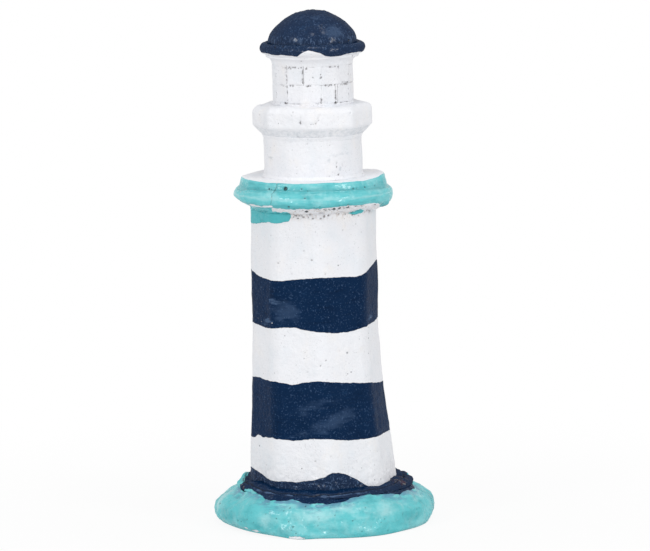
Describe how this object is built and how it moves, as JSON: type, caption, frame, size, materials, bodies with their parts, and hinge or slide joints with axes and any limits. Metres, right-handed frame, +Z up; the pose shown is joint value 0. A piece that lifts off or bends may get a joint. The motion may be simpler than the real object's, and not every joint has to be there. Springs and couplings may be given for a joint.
{
  "type": "garden lighthouse ornament",
  "caption": "Lighthouse ornament of painted concrete: lumpy plinth, flared eight-sided tower, stepped gallery, plain drum, octagonal parapet, glazed lantern room and domed roof.",
  "frame": {"origin": "on the ground, under the middle of the plinth", "axes": "+Z up along the rod, -Y towards the front, where the picture was taken from"},
  "size_m": [0.1274, 0.1272, 0.3],
  "materials": {
    "plinth": "concrete brushed with turquoise paint, satin",
    "foot_fillet": "mortar painted navy, semi-gloss",
    "tower_shaft": "concrete painted white with two wide navy bands, satin",
    "gallery_ring": "concrete painted turquoise, with a white top",
    "watch_room": "concrete painted white, satin",
    "parapet": "concrete painted white, satin",
    "lantern_room": "concrete painted white, satin",
    "roof_dome": "concrete brushed with navy paint, semi-gloss",
    "centre_rod": "plain round steel bar",
    "mortar": "grey cement mortar, matt"
  },
  "bodies": {
    "root": {"plinth": "plinth", "foot_fillet": "foot_fillet", "tower_shaft": "tower_shaft", "gallery_ring": "gallery_ring", "watch_room": "watch_room", "parapet": "parapet", "lantern_room": "lantern_room", "roof_dome": "roof_dome", "centre_rod": "centre_rod", "rod_grout": "mortar", "tower_mortar": "mortar", "gallery_mortar": "mortar", "watch_room_mortar": "mortar", "parapet_mortar": "mortar", "lantern_room_mortar": "mortar", "roof_mortar": "mortar"}
  },
  "joints": []
}
